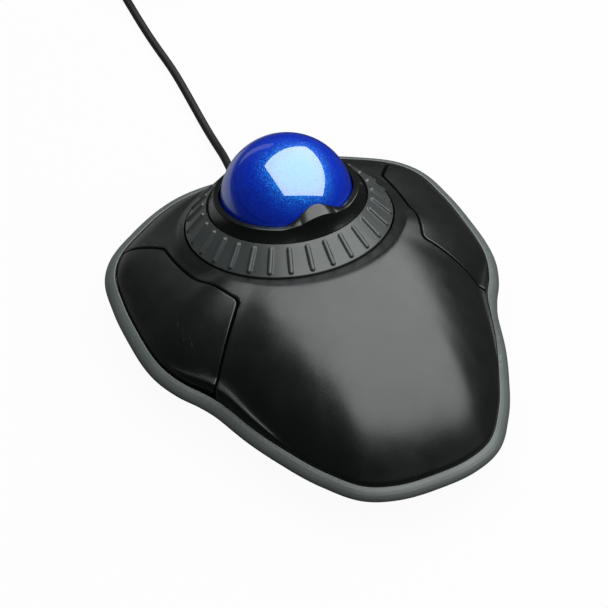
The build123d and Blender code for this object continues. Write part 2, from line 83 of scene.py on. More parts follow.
# about the ring's axis, heights from the middle of the ball
RING_DROP = 7.08                                       # outer edge of the ring, below the ball
RECESS_R = 31.75
MOUTH_LOW, MOUTH_SLOPE = -7.4, 0.36                    # recess mouth and its rise outwards
FLANGE_HIGH, FLANGE_SLOPE = -7.5, -0.72                # cover's flange beside the recess
RECESS_FLOOR = -13.0
# outline of the ring's section: (radius, height)
RING_PROFILE = [(24.35, 0.0), (31.25, -7.08), (31.05, -7.85), (30.2, -7.9), (30.2, -10.5),
                (28.4, -10.5), (28.4, -7.95), (25.5, -7.9), (25.5, -3.2), (24.35, -3.2)]
RIBS, RIB_R = 30, 0.7
RIB_START, RIB_END = (25.6, -1.15), (30.3, -6.0)       # ends of a rib: (radius, height)
COLLAR_TOP, COLLAR_FOOT = 3.5, -3.0
COLLAR_R, COLLAR_FOOT_R = 22.1, 24.0
SEAT_PLAY = 0.45                                       # between the ball and the collar
TONGUE_RISE, TONGUE_HALF, TONGUE_AT = 4.5, 31.0, 272.0   # height, half width and angle

# plan of the right button
REAR_CORNER, ARC_MIDDLE, FRONT_CORNER = (36.9, 40.6), (35.3, 18.6), (30.4, 2.6)
FRONT_END, REAR_END = (46.5, -13.9), (49.2, 55.8)
CORNER_R = 2.4
BUTTON_MIDDLE = (43.0, 18.0)                           # where its lines of mesh meet
BUTTON_EDGE = -0.5                                     # button stops this far inside the band
BUTTON_T, BUTTON_WALL = 2.0, 1.5
BUTTON_GAP = 0.6
BUTTON_LIP = 4.6                                       # depth of its edge below its surface
BUTTON_FLOOR = 14.3                                    # lowest edge of a button

CORD_D, CORD_Z = 2.6, 1.3
# control points of the cord as it lies
ROUTE = [(3.5, 78.3, 5.6), (4.9, 86.0, 4.2), (5.7, 93.6, 2.4), (6.3, 101.5, CORD_Z),
         (6.8, 110.5, CORD_Z), (7.5, 121.0, CORD_Z), (8.1, 133.0, CORD_Z), (7.6, 147.0, CORD_Z),
         (7.8, 160.0, CORD_Z), (8.4, 174.0, CORD_Z), (8.5, 188.0, CORD_Z)]
TAIL = [(29.0, 209.5, 11.7), (36.0, 209.9, 10.6), (43.0, 210.8, 7.4), (49.5, 211.6, 4.8),
        (56.0, 212.0, 4.0)]
COIL_X, COIL_Y = 28.0, 190.0
COIL_RADII = [19.5, 16.9, 14.3, 11.7]
COIL_LAYERS = 4                                        # whole layers, under one last turn

AXIS = np.array([0.0, math.sin(TILT), math.cos(TILT)])
ACROSS = np.array([0.0, math.cos(TILT), -math.sin(TILT)])
RING_CY = BALL[1] - RING_DROP * AXIS[1]
RING_CZ = BALL[2] - RING_DROP * AXIS[2]


# ---------------------------------------------------------------- outline and height of the cover
def hermite(values, stations):
    """Smooth curve through (place, height) stations, level at both ends."""
    places = np.array([s[0] for s in stations], float)
    heights = np.array([s[1] for s in stations], float)
    slopes = np.zeros(len(stations))
    slopes[1:-1] = (heights[2:] - heights[:-2]) / (places[2:] - places[:-2])
    k = np.clip(np.searchsorted(places, values) - 1, 0, len(stations) - 2)
    span = places[k + 1] - places[k]
    t = (values - places[k]) / span
    return (heights[k] * (1 + 2 * t) * (1 - t) ** 2 + heights[k + 1] * t * t * (3 - 2 * t)
            + span * (slopes[k] * t * (1 - t) ** 2 - slopes[k + 1] * t * t * (1 - t)))


def plan_points(angles):
    folded = (angles + 90.0) % 360.0 - 90.0
    reach = hermite(np.where(folded > 90.0, 180.0 - folded, folded), PLAN)
    a = np.radians(folded)
    return np.stack([reach * np.cos(a), PLAN_Y + reach * np.sin(a)], -1)


def plan_edge(angles, offset=0.0):
    """The cover's edge in plan, moved outwards by offset."""
    along = plan_points(angles + 0.5) - plan_points(angles - 0.5)
    along /= np.linalg.norm(along, axis=-1, keepdims=True)
    return plan_points(angles) + offset * np.stack([along[:, 1], -along[:, 0]], -1)


EDGE_PLAN = plan_points(np.arange(-90.0, 270.01, 0.05)) - [0.0, RING_CY]
EDGE_THETA = np.unwrap(np.arctan2(EDGE_PLAN[:, 1], EDGE_PLAN[:, 0]))
EDGE_REACH = np.hypot(EDGE_PLAN[:, 0], EDGE_PLAN[:, 1])


def smooth_max(a, b, blend):
    h = np.clip(0.5 + 0.5 * (a - b) / blend, 0, 1)
    return b + (a - b) * h + blend * h * (1 - h) * 0.5


def fall(t, power):
    """1 at the ring and 0 at the edge, rolling over; straight beyond the knee."""
    inside = np.clip(t, 0, KNEE)
    slope = -power * SOFTNESS * KNEE ** (power - 1) * (1 - KNEE ** power) ** (SOFTNESS - 1)
    return (1 - inside ** power) ** SOFTNESS + slope * np.maximum(t - KNEE, 0)


def bare_z(x, y):
    """Main surface of the cover, without what it does beside the ring."""
    theta = np.arctan2(y - RING_CY, x)
    s = np.sin(theta)
    around = (theta + math.pi / 2) % (2 * math.pi) - math.pi / 2
    reach = np.interp(around, EDGE_THETA, EDGE_REACH)
    # raised before the palm, lower on the wings
    lift = PALM_LIFT * np.tanh((-s - 0.38) / 0.13) - 0.2 + REAR_LIFT * np.maximum(s, 0) ** 2
    crest = RING_CZ - math.tan(TILT) * CREST_R * s + lift
    t = (np.hypot(x, y - RING_CY) - CREST_START) / (reach - CREST_START)
    nose = np.clip((-s - 0.72) / 0.24, 0, 1)
    return EDGE_Z + (crest - EDGE_Z) * fall(t, 2 + NOSE * nose * nose * (3 - 2 * nose))


def cone_z(x, y, high, slope):
    """Height of a cone about the ring's axis that passes the recess at height high."""
    z = RING_CZ - math.tan(TILT) * (y - RING_CY)
    for _ in range(4):
        away = np.hypot(x, (y - BALL[1]) * AXIS[2] - (z - BALL[2]) * AXIS[1]) - RECESS_R
        z = BALL[2] + (high + slope * away - (y - BALL[1]) * AXIS[1]) / AXIS[2]
    return z


def top_z(x, y):
    """Cover's surface: main surface, flange that comes up to the ring, and the ring's recess."""
    flange = cone_z(x, y, FLANGE_HIGH, FLANGE_SLOPE)
    mouth = cone_z(x, y, MOUTH_LOW, MOUTH_SLOPE)
    return -smooth_max(-smooth_max(bare_z(x, y), flange, 1.0), -mouth, 0.5)


# ---------------------------------------------------------------- mesh helpers
def add_mesh(name, points, faces, body, slot, replaced):
    """Smooth piece that rides a body and replaces CAD nodes; points in millimetres."""
    mesh = bpy.data.meshes.new(name)
    mesh.from_pydata((np.asarray(points) * MM).tolist(), [], faces)
    mesh.validate()
    mesh.polygons.foreach_set("use_smooth", [True] * len(mesh.polygons))
    piece = bpy.data.objects.new(name, mesh)
    bpy.context.scene.collection.objects.link(piece)
    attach(piece, body)
    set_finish(piece, slot)
    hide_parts(*replaced)
    return piece


def grid_faces(rows, columns, close_rows=False):
    """Quads between loops of points, which close on themselves."""
    faces = []
    for i in range(rows if close_rows else rows - 1):
        a, b = i * columns, ((i + 1) % rows) * columns
        for j in range(columns):
            k = (j + 1) % columns
            faces.append((a + j, a + k, b + k, b + j))
    return faces


def torus_mesh(name, rows, body, slot, replaced):
    """Closed piece from loops of points; the last loop joins the first."""
    rows = np.asarray(rows)
    faces = grid_faces(rows.shape[0], rows.shape[1], close_rows=True)
    return add_mesh(name, rows.reshape(-1, 3), faces, body, slot, replaced)


def capped_mesh(name, rows, body, slot, replaced):
    """Closed piece from loops of points, with a point in the middle of the end loops."""
    rows = np.asarray(rows)
    count, columns = rows.shape[:2]
    points = np.concatenate([rows.reshape(-1, 3), [rows[0].mean(0), rows[-1].mean(0)]])
    faces = grid_faces(count, columns)
    first, last = count * columns, count * columns + 1
    for j in range(columns):
        k = (j + 1) % columns
        faces.append((first, k, j))
        faces.append((last, (count - 1) * columns + j, (count - 1) * columns + k))
    return add_mesh(name, points, faces, body, slot, replaced)


def rounded(profile, radius, closed=False, steps=5):
    """Profile with rounded corners, and a supporting point just outside each rounding."""
    points = [np.array(p, float) for p in profile]
    count = len(points)
    made = []
    for i, corner in enumerate(points):
        if not closed and i in (0, count - 1):
            made.append(corner)
            continue
        before, after = points[i - 1] - corner, points[(i + 1) % count] - corner
        reach = min(radius, 0.42 * np.linalg.norm(before), 0.42 * np.linalg.norm(after))
        a = corner + before / np.linalg.norm(before) * reach
        b = corner + after / np.linalg.norm(after) * reach
        made.append(a + (a - corner) * 0.12)
        for k in range(steps + 1):
            t = k / steps
            made.append(a * (1 - t) ** 2 + corner * 2 * t * (1 - t) + b * t * t)
        made.append(b + (b - corner) * 0.12)
    return made


def ring_points(radius, angle, height):
    """Points given by radius, angle and height about the ring's axis."""
    radius, angle, height = np.broadcast_arrays(radius, angle, height)
    out = np.multiply.outer(radius * np.cos(angle), np.array([1.0, 0.0, 0.0]))
    out += np.multiply.outer(radius * np.sin(angle), ACROSS)
    return BALL + out + np.multiply.outer(height, AXIS)


def plan_rows(profile):
    """Loops that follow the outline at each (offset, height)."""
    count = 900
    angles = -90 + 360 * np.arange(count) / count
    return [np.column_stack([plan_edge(angles, o), np.full(count, z)]) for o, z in profile]


def spread(length, fine, coarse):
    """Distances from 0 to length: fine at both ends, coarse in the middle."""
    growth = 1.45
    half = [0.0]
    step = fine
    while half[-1] + step < length / 2:
        half.append(half[-1] + step)
        step = min(step * growth, coarse)
    half = np.array(half)
    back = length - half[::-1]
    return np.concatenate([half, back[back > half[-1] + 1e-6]])


# ---------------------------------------------------------------- plan of a button
def arc_through(start, middle, end, count):
    """Points of the circular arc from start through middle to end."""
    (ax, ay), (bx, by), (cx, cy) = start, middle, end
    d = 2 * (ax * (by - cy) + bx * (cy - ay) + cx * (ay - by))
    sa, sb, sc = ax * ax + ay * ay, bx * bx + by * by, cx * cx + cy * cy
    ux = (sa * (by - cy) + sb * (cy - ay) + sc * (ay - by)) / d
    uy = (sa * (cx - bx) + sb * (ax - cx) + sc * (bx - ax)) / d
    first, last = math.atan2(ay - uy, ax - ux), math.atan2(cy - uy, cx - ux)
    last += 2 * math.pi * round((first - last) / (2 * math.pi))
    radius = math.hypot(ax - ux, ay - uy)
    a = np.linspace(first, last, count)
    return np.stack([ux + radius * np.cos(a), uy + radius * np.sin(a)], -1)


def meets_outline(start, end, offset, low, high):
    """Angle at which the line from start to end crosses the offset outline."""
    angles = np.arange(low, high, 0.02)
    edge = plan_edge(angles, offset)
    (ax, ay), (bx, by) = start, end
    side = (edge[:, 0] - ax) * (by - ay) - (edge[:, 1] - ay) * (bx - ax)
    return angles[np.argmin(np.abs(side))]


def button_angles(front_end, inner, rear_end, offset):
    """Angles at which a button's front and rear sides meet the offset outline."""
    return (meets_outline(inner[0], front_end, offset, -36, -7),
            meets_outline(inner[-1], rear_end, offset, 30, 60))


def fillet_corner(before, corner, after, radius):
    """Points of the arc that rounds a corner between two straight directions."""
    steps = 7
    corner = np.array(corner)
    u = (np.array(before) - corner) / np.linalg.norm(np.array(before) - corner)
    v = (np.array(after) - corner) / np.linalg.norm(np.array(after) - corner)
    half = math.acos(np.dot(u, v)) / 2
    reach = radius / math.tan(half)
    middle = corner + (u + v) / np.linalg.norm(u + v) * radius / math.sin(half)
    start, end = corner + u * reach - middle, corner + v * reach - middle
    turn = math.atan2(start[0] * end[1] - start[1] * end[0], np.dot(start, end))
    base = math.atan2(start[1], start[0])
    a = base + turn * np.arange(steps + 1) / steps
    return middle + radius * np.stack([np.cos(a), np.sin(a)], -1)


def button_inner(grow):
    """Inner side of a button: from its front end round the front corner, along the arc,
    round the rear corner to its rear end; grow moves it out by the gap."""
    rear = (REAR_CORNER[0] - grow, REAR_CORNER[1] + grow)
    middle = (ARC_MIDDLE[0] - grow, ARC_MIDDLE[1])
    front = (FRONT_CORNER[0] - grow, FRONT_CORNER[1] - grow)
    front_end = (FRONT_END[0] - 0.3 * grow, FRONT_END[1] - grow)
    rear_end = (REAR_END[0] - 0.7 * grow, REAR_END[1] + 0.7 * grow)
    arc = arc_through(front, middle, rear, 61)
    front_round = fillet_corner(front_end, front, arc[4], CORNER_R)
    rear_round = fillet_corner(arc[-5], rear, rear_end, CORNER_R)
    low, high = front_round[-1], rear_round[0]
    clear = 0.7                                        # points nearer to a rounding are left out
    keep = [p for p in arc[5:-5] if low[1] < p[1] < high[1]
            and np.linalg.norm(p - low) > clear and np.linalg.norm(p - high) > clear]
    return front_end, np.concatenate([front_round, np.array(keep), rear_round]), rear_end


def resampled(points, count):
    """count points evenly spaced along an open line."""
    points = np.asarray(points, float)
    along = np.concatenate([[0], np.cumsum(np.linalg.norm(np.diff(points, axis=0), axis=1))])
    at = np.linspace(0, along[-1], count)
    return np.stack([np.interp(at, along, points[:, k]) for k in range(points.shape[1])], -1)


# ---------------------------------------------------------------- top cover
def cover_border():
    """Right half of the cover's border in plan, front tip to rear middle, and the angle on
    the recess that the line of mesh from each border point runs to."""
    front_end, inner, rear_end = button_inner(BUTTON_GAP)
    front_at, rear_at = button_angles(front_end, inner, rear_end, COVER_EDGE)
    front = plan_edge(np.linspace(-90, front_at, 400), COVER_EDGE)
    rear = plan_edge(np.linspace(rear_at, 90, 300), COVER_EDGE)
    # stretches of the border: (points, lines of mesh, first and last angle on the recess)
    stretches = [
        (front, 96, -90, -66),
        (np.array([front[-1], inner[0]]), 40, -66, -47),
        (inner, 150, -47, 24),
        (np.array([inner[-1], rear[0]]), 30, 24, 40),
        (rear, 74, 40, 90)]
    border, angles = [], []
    for points, count, first, last in stretches:
        border.append(resampled(points, count + 1)[:-1])
        angles.append(np.linspace(first, last, count + 1)[:-1])
    border.append(rear[-1:])
    angles.append(np.array([90.0]))
    return np.concatenate(border), np.concatenate(angles)


def mirrored_loop(right):
    """Whole loop from its right half, whose first and last points lie on x = 0."""
    left = right[-2:0:-1] * [-1, 1]
    return np.concatenate([right, left])


def edge_drop(plan, border, along, radius):
    """How far the surface drops at points of plan, to round the edge along the border."""
    away = border - plan
    gap = np.abs(away[:, 0] * along[:, 1] - away[:, 1] * along[:, 0])
    inside = np.clip(radius - gap, 0, radius)
    return radius - np.sqrt(radius ** 2 - inside ** 2)


def border_directions(border):
    """Unit direction of a closed line at each of its points."""
    along = np.roll(border, -1, 0) - np.roll(border, 1, 0)
    return along / np.linalg.norm(along, axis=1, keepdims=True)


def top_cover():
    """Cover as loops from the recess out to the border, down, and back inside."""
    border, angles = cover_border()
    border = mirrored_loop(border)
    angles = np.radians(np.concatenate([angles, 180 - angles[-2:0:-1]]))
    recess = ring_points(RECESS_R, angles, MOUTH_LOW)[:, :2]
    along = border_directions(border)
    reach = np.linalg.norm(border - recess, axis=1)
    line = 40.0                                        # usual length of a line of the mesh
    rows = []
    for at in spread(line, 0.12, 1.2):
        share = at / line
        # near both ends the spacing is the same for long and short lines of the mesh
        near, far = share * line, (1 - share) * line
        even = np.where(share < 0.5, near / reach, 1 - far / reach)
        weight = np.clip(1 - np.minimum(near, far) / (0.22 * reach), 0, 1)
        v = share * (1 - weight) + np.clip(even, 0, 1) * weight
        v = np.where(reach > 9, v, share)
        plan = recess + (border - recess) * v[:, None]
        z = top_z(plan[:, 0], plan[:, 1]) - edge_drop(plan, border, along, 0.4) * (v > 0.5)
        rows.append(np.column_stack([plan, z]))
    inward = (recess - border) / reach[:, None]
    wall = np.minimum(WALL, 0.35 * reach)
    skirt = np.full(len(border), SEAM_Z)
    on_button = np.abs(border[:, 0]) < np.abs(outline_x(border)) - 0.4
    skirt[on_button] = SKIRT_TOP
    edge_z = rows[-1][:, 2]
    for depth in (0.5, 1.0):
        rows.append(np.column_stack([border, edge_z + (skirt - edge_z) * depth]))
    lower = border + inward * wall[:, None]
    rows.append(np.column_stack([lower, skirt]))
    under = top_z(lower[:, 0], lower[:, 1]) - WALL
    rows.append(np.column_stack([lower, np.maximum(under, skirt + 0.1)]))
    inner_edge = recess - inward * wall[:, None]
    for share in (0.25, 0.5, 0.75, 1.0):
        plan = lower + (inner_edge - lower) * share
        rows.append(np.column_stack([plan, top_z(plan[:, 0], plan[:, 1]) - WALL]))
    rows.append(ring_points(RECESS_R + wall, angles, RECESS_FLOOR))
    for height in (RECESS_FLOOR, -9.0, -7.6):
        rows.append(ring_points(RECESS_R, angles, height))
    return torus_mesh("top_cover_shell", rows, "housing", "cover_plastic", ["top_cover"])


def outline_x(points):
    """X of the outline at each point's own angle."""
    angle = np.degrees(np.arctan2(points[:, 1] - PLAN_Y, points[:, 0]))
    return plan_points(angle)[:, 0]


# ---------------------------------------------------------------- buttons, band, ring, collar, ball
def button(side):
    """One wing button: a thin dished cap with rounded edges; side is 1 right, -1 left."""
    front_end, inner, rear_end = button_inner(0.0)
    front_at, rear_at = button_angles(front_end, inner, rear_end, BUTTON_EDGE)
    outer = plan_edge(np.linspace(rear_at, front_at, 600), BUTTON_EDGE)
    front_corner, rear_corner = outer[-1], outer[0]
    border = np.concatenate([
        resampled(np.array([front_corner, inner[0]]), 41)[:-1],
        resampled(inner, 151)[:-1],
        resampled(np.array([inner[-1], rear_corner]), 31)[:-1],
        resampled(outer, 241)[:-1]])
    border = soften(border, 4)
    middle = np.array(BUTTON_MIDDLE)
    along = border_directions(border)
    reach = np.linalg.norm(border - middle, axis=1)
    shares = [0.0, 0.004, 0.008, 0.012, 0.017, 0.023, 0.032, 0.045, 0.065, 0.1, 0.15, 0.21, 0.28,
              0.36, 0.44, 0.52, 0.6, 0.68, 0.76, 0.84, 0.92]
    top = []
    for share in shares:
        plan = border + (middle - border) * share
        z = top_z(plan[:, 0], plan[:, 1]) - edge_drop(plan, border, along, 0.45)
        top.append(np.column_stack([plan, z]))
    lip = np.maximum(top[0][:, 2] - BUTTON_LIP, BUTTON_FLOOR)
    rows = top[::-1]
    rows.append(np.column_stack([border, lip + (top[0][:, 2] - lip) * 0.5]))
    rows.append(np.column_stack([border, lip]))
    inward = (middle - border) / reach[:, None]
    lower = border + inward * BUTTON_WALL
    under = top_z(lower[:, 0], lower[:, 1]) - BUTTON_T
    rows.append(np.column_stack([lower, np.minimum(lip, under - 0.1)]))
    rows.append(np.column_stack([lower, under]))
    for share in (0.2, 0.4, 0.6, 0.8, 0.92):
        plan = lower + (middle - lower) * share
        rows.append(np.column_stack([plan, top_z(plan[:, 0], plan[:, 1]) - BUTTON_T]))
    rows = np.array(rows) * [side, 1, 1]
    if side > 0:
        rows = rows[:, ::-1]
    name = "right_button" if side > 0 else "left_button"
    return capped_mesh(name + "_cap", rows, name, "cover_plastic", [name])


def soften(loop, rounds):
    """Closed line with its small corners eased."""
    for _ in range(rounds):
        loop = 0.5 * loop + 0.25 * (np.roll(loop, 1, 0) + np.roll(loop, -1, 0))
    return loop


def rim_band():
    rows = plan_rows(rounded(BAND, 0.32, closed=True))
    return torus_mesh("rim_band_trim", rows, "housing", "band_plastic", ["rim_band"])


def scroll_ring():
    """Conical ring with raised ribs, round across and at their ends."""
    low, high = np.array(RING_PROFILE[1]), np.array(RING_PROFILE[0])
    length = np.linalg.norm(low - high)
    slope = (low - high) / length
    normal = np.array([-slope[1], slope[0]])
    rib_start = np.dot(np.array(RIB_START) - high, slope)
    rib_end = np.dot(np.array(RIB_END) - high, slope)
    # degrees from the middle of a rib, finest on the rib itself
    half = np.array([0, 0.16, 0.32, 0.47, 0.62, 0.76, 0.9, 1.04, 1.2, 1.42, 1.75, 2.25, 2.9, 3.7, 4.6,
                     5.4])
    cell = np.concatenate([-half[:0:-1], half])
    pitch = 360.0 / RIBS
    angles = np.radians(np.concatenate([pitch / 2 + pitch * k + cell for k in range(RIBS)]))
    offsets = np.radians(np.tile(cell, RIBS))
    # places down the conical face, finest at the ends of the ribs
    face_at = np.concatenate([[0.25, 0.5, 0.75, 0.95], np.arange(1.1, 2.6, 0.14),
                              np.arange(2.7, 7.4, 0.3), np.arange(7.5, length - 0.5, 0.14),
                              [length - 0.3]])
    section = rounded(RING_PROFILE, 0.22, closed=True, steps=4)
    corner_points = 7
    rib_r = RIB_R + 0.03
    lifted, blend = 0.05, 0.25                         # lift of a rib, and width of its foot
    rows = [ring_points(r, angles, h) for r, h in section[:corner_points]]
    for place in face_at:
        radius, height = high + slope * place
        away = np.hypot(radius * offsets, place - np.clip(place, rib_start, rib_end))
        dome = np.sqrt(np.maximum(rib_r ** 2 - away ** 2, 0)) + lifted
        foot = np.clip(1 - (away - rib_r) / blend, 0, 1) ** 2 * lifted
        rise = np.where(away < rib_r, dome, foot)
        rows.append(ring_points(radius + normal[0] * rise, angles, height + normal[1] * rise))
    rows += [ring_points(r, angles, h) for r, h in section[corner_points:]]
    return torus_mesh("scroll_ring_ribbed", rows, "scroll_ring", "ring_plastic", ["scroll_ring"])


def ball_collar():
    """Glossy lip round the ball; its rim rises into a tongue at the front."""
    angles = np.radians(np.arange(0, 360, 0.5))
    turn = (np.degrees(angles) - TONGUE_AT + 180) % 360 - 180
    swell = np.cos(np.radians(turn * 90 / TONGUE_HALF)) ** 2
    lift = np.where(np.abs(turn) < TONGUE_HALF, swell, 0)
    rim = COLLAR_TOP + TONGUE_RISE * lift
    seat = BALL_R + SEAT_PLAY
    bead, edge = 0.25, 0.45                            # roundings inside and outside the rim
    rows = []
    for share in np.linspace(0, 1, 14):
        h = COLLAR_FOOT + (rim - bead - COLLAR_FOOT) * share
        rows.append(ring_points(np.sqrt(seat ** 2 - h ** 2), angles, h))
    inner = np.sqrt(seat ** 2 - rim ** 2)
    outer = COLLAR_R + 0.35 * lift
    for a in np.linspace(0.2, 1, 5) * math.pi / 2:
        across, up = bead * (1 - math.cos(a)), bead * (math.sin(a) - 1)
        rows.append(ring_points(inner + across, angles, rim + up))
    # top of the rim: level beside the ball, sloping outwards on the tongue
    slant = 0.06 + 0.58 * np.minimum(1.0, 1.9 * lift)
    wide = outer - edge - inner - bead
    for share in (0.15, 0.3, 0.5, 0.7, 0.85):
        rows.append(ring_points(inner + bead + wide * share, angles, rim - slant * wide * share))
    brow = rim - slant * wide
    for a in np.linspace(0, math.radians(65), 6):
        across, up = edge * (math.sin(a) - 1), edge * (math.cos(a) - 1)
        rows.append(ring_points(outer + across, angles, brow + up))
    # hollow flank down to the foot
    start, high = outer + across, brow + up
    for share in np.linspace(0.08, 1, 12):
        hollow = 0.2 * math.sin(math.pi * share) * (1 + lift)
        rows.append(ring_points(start + (COLLAR_FOOT_R - start) * share - hollow, angles,
                                high + (-0.5 - high) * share))
    for radius, height in ((COLLAR_FOOT_R, -1.2), (COLLAR_FOOT_R, COLLAR_FOOT), (22.0, COLLAR_FOOT)):
        rows.append(ring_points(radius, angles, height))
    return torus_mesh("ball_collar_lip", rows, "housing", "collar_plastic", ["ball_collar"])


def trackball():
    """Ball as a rounded cube of even quads."""
    count = 56
    a = np.tan(np.linspace(-math.pi / 4, math.pi / 4, count + 1))
    u, v = np.meshgrid(a, a, indexing="ij")
    one = np.ones_like(u)
    points, faces = [], []
    sides = [(u, v, one), (v, u, -one), (one, u, v), (-one, v, u), (v, one, u), (u, -one, v)]
    for k, side in enumerate(sides):
        out = np.stack(side, -1)
        out = out / np.linalg.norm(out, axis=-1, keepdims=True)
        points.append(BALL + BALL_R * out.reshape(-1, 3))
        start = k * (count + 1) ** 2
        for i in range(count):
            for j in range(count):
                q = start + i * (count + 1) + j
                faces.append((q, q + count + 1, q + count + 2, q + 1))
    piece = add_mesh("trackball_sphere", np.concatenate(points), faces, "ball", "ball_blue",
                     ["trackball"])
    weld(piece)
    return piece


def weld(piece):
    """Joins the points that neighbouring patches share."""
    mesh = bmesh.new()
    mesh.from_mesh(piece.data)
    bmesh.ops.remove_doubles(mesh, verts=mesh.verts, dist=1e-6)
    bmesh.ops.recalc_face_normals(mesh, faces=mesh.faces)
    mesh.to_mesh(piece.data)
    mesh.free()


# ---------------------------------------------------------------- cord
def coil_points():
    """Turns of the coil, clockwise from its left: layers laid outer to inner and back."""
    steps = 28
    turns = []
    for layer in range(COIL_LAYERS):
        order = COIL_RADII if layer % 2 == 0 else COIL_RADII[::-1]
        turns += [(radius, layer) for radius in order]
    turns.append((COIL_RADII[0], COIL_LAYERS))
    points = []
    total = len(turns) * steps + steps // 4
    widen = 1 / math.cos(math.pi / steps)              # the curve runs inside its control points
    for k in range(1, total + 1):
        place = k / steps
        turn = min(int(place), len(turns) - 1)
        radius, layer = turns[turn]
        follow = turns[min(turn + 1, len(turns) - 1)]
        # the last fifth of a turn crosses over to the next one
        share = max(0.0, place - turn - 0.8) / 0.2 if place < len(turns) else 0.0
        share = share * share * (3 - 2 * share)
        reach = (radius + (follow[0] - radius) * share) * widen
        height = CORD_Z + CORD_D * (layer + (follow[1] - layer) * share)
        angle = math.pi - 2 * math.pi * place
        points.append((COIL_X + reach * math.cos(angle), COIL_Y + reach * math.sin(angle), height))
    return points


def cord():
    """Whole cord as one curve: run, coil and tail."""
    curve = bpy.data.curves.new("cord_lead", "CURVE")
    curve.dimensions = "3D"
    spline = curve.splines.new("NURBS")
    points = ROUTE + coil_points() + TAIL
    spline.points.add(len(points) - 1)
    for point, place in zip(spline.points, points):
        point.co = (*[c * MM for c in place], 1.0)
        point.radius = CORD_D / 2 * MM             # keeps the curve's own box tight
    spline.order_u = 3
    spline.use_endpoint_u = True
    spline.resolution_u = 4
    curve.bevel_depth = 1.0
    curve.bevel_resolution = 6
    curve.use_fill_caps = True
    piece = bpy.data.objects.new("cord_lead", curve)
    bpy.context.scene.collection.objects.link(piece)
    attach(piece, "housing")
    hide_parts("cord_run", "cord_coil", "cord_tail")
    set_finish(piece, "cord_rubber")
    return piece


# ---------------------------------------------------------------- materials
def new_material(name):
    material = bpy.data.materials.new(name)
    material.use_nodes = True
    tree = material.node_tree
    return material, tree, tree.nodes["Principled BSDF"]


def noise(tree, scale, detail=2.0):
    """Noise in the piece's own space; scale is in features per metre."""
    place = tree.nodes.new("ShaderNodeTexCoord")
    made = tree.nodes.new("ShaderNodeTexNoise")
    made.inputs["Scale"].default_value = scale
    made.inputs["Detail"].default_value = detail
    tree.links.new(place.outputs["Object"], made.inputs["Vector"])
    return made.outputs["Fac"]


def mapped(tree, value, low, high, start=0.3, end=0.7):
    """Value carried from start..end to low..high."""
    made = tree.nodes.new("ShaderNodeMapRange")
    made.inputs["From Min"].default_value = start
    made.inputs["From Max"].default_value = end
    made.inputs["To Min"].default_value = low
    made.inputs["To Max"].default_value = high
    tree.links.new(value, made.inputs["Value"])
    return made.outputs["Result"]


def blended(tree, amount, first, second):
    """Colour between two, each a plain colour or a socket."""
    made = tree.nodes.new("ShaderNodeMix")
    made.data_type = "RGBA"
    tree.links.new(amount, made.inputs[0])
    for socket, colour in ((made.inputs[6], first), (made.inputs[7], second)):
        if isinstance(colour, tuple):
            socket.default_value = (*colour, 1)
        else:
            tree.links.new(colour, socket)
    return made.outputs[2]


def bumped(tree, height, distance):
    made = tree.nodes.new("ShaderNodeBump")
    made.inputs["Strength"].default_value = 0.5
    made.inputs["Distance"].default_value = distance
    tree.links.new(height, made.inputs["Height"])
    return made.outputs["Normal"]


def worn_and_highlit_edges(tree):
    """1 on sharp outer edges, broken up by noise: where edge wear and a painted edge highlight
    lighten the colour.
    """
    shape = tree.nodes.new("ShaderNodeNewGeometry")
    edge = mapped(tree, shape.outputs["Pointiness"], 0.0, 1.0, 0.52, 0.62)
    patch = mapped(tree, noise(tree, 900.0, 3.0), 0.0, 1.0, 0.4, 0.7)
    both = tree.nodes.new("ShaderNodeMath")
    both.operation = "MULTIPLY"
    tree.links.new(edge, both.inputs[0])
    tree.links.new(patch, both.inputs[1])
    return both.outputs[0]


def moulded(name, dark, light, rough, grain=2600.0, depth=0.00004, specular=0.5, edge_wear_and_highlight=None,
            metallic=0.0):
    """Plastic, rubber or metal: mottled colour, fine grain, uneven gloss, and a lighter colour at its
    edges, partly wear and partly a painted edge highlight.
    """
    material, tree, shader = new_material(name)
    colour = blended(tree, mapped(tree, noise(tree, 60.0, 4.0), 0.0, 1.0), dark, light)
    # edges lightened: partly wear, partly a painted highlight along them
    if edge_wear_and_highlight:
        colour = blended(tree, worn_and_highlit_edges(tree), colour, edge_wear_and_highlight)
    tree.links.new(colour, shader.inputs["Base Color"])
    gloss = mapped(tree, noise(tree, 140.0, 5.0), rough - 0.04, rough + 0.04)
    tree.links.new(gloss, shader.inputs["Roughness"])
    tree.links.new(bumped(tree, noise(tree, grain), depth), shader.inputs["Normal"])
    shader.inputs["Specular IOR Level"].default_value = specular
    shader.inputs["Metallic"].default_value = metallic
    return material


def vector_math(tree, operation, first, second):
    """Vector node of two inputs, each a plain vector or a socket."""
    made = tree.nodes.new("ShaderNodeVectorMath")
    made.operation = operation
    for socket, vector in zip(made.inputs, (first, second)):
        if isinstance(vector, tuple):
            socket.default_value = vector
        else:
            tree.links.new(vector, socket)
    return made


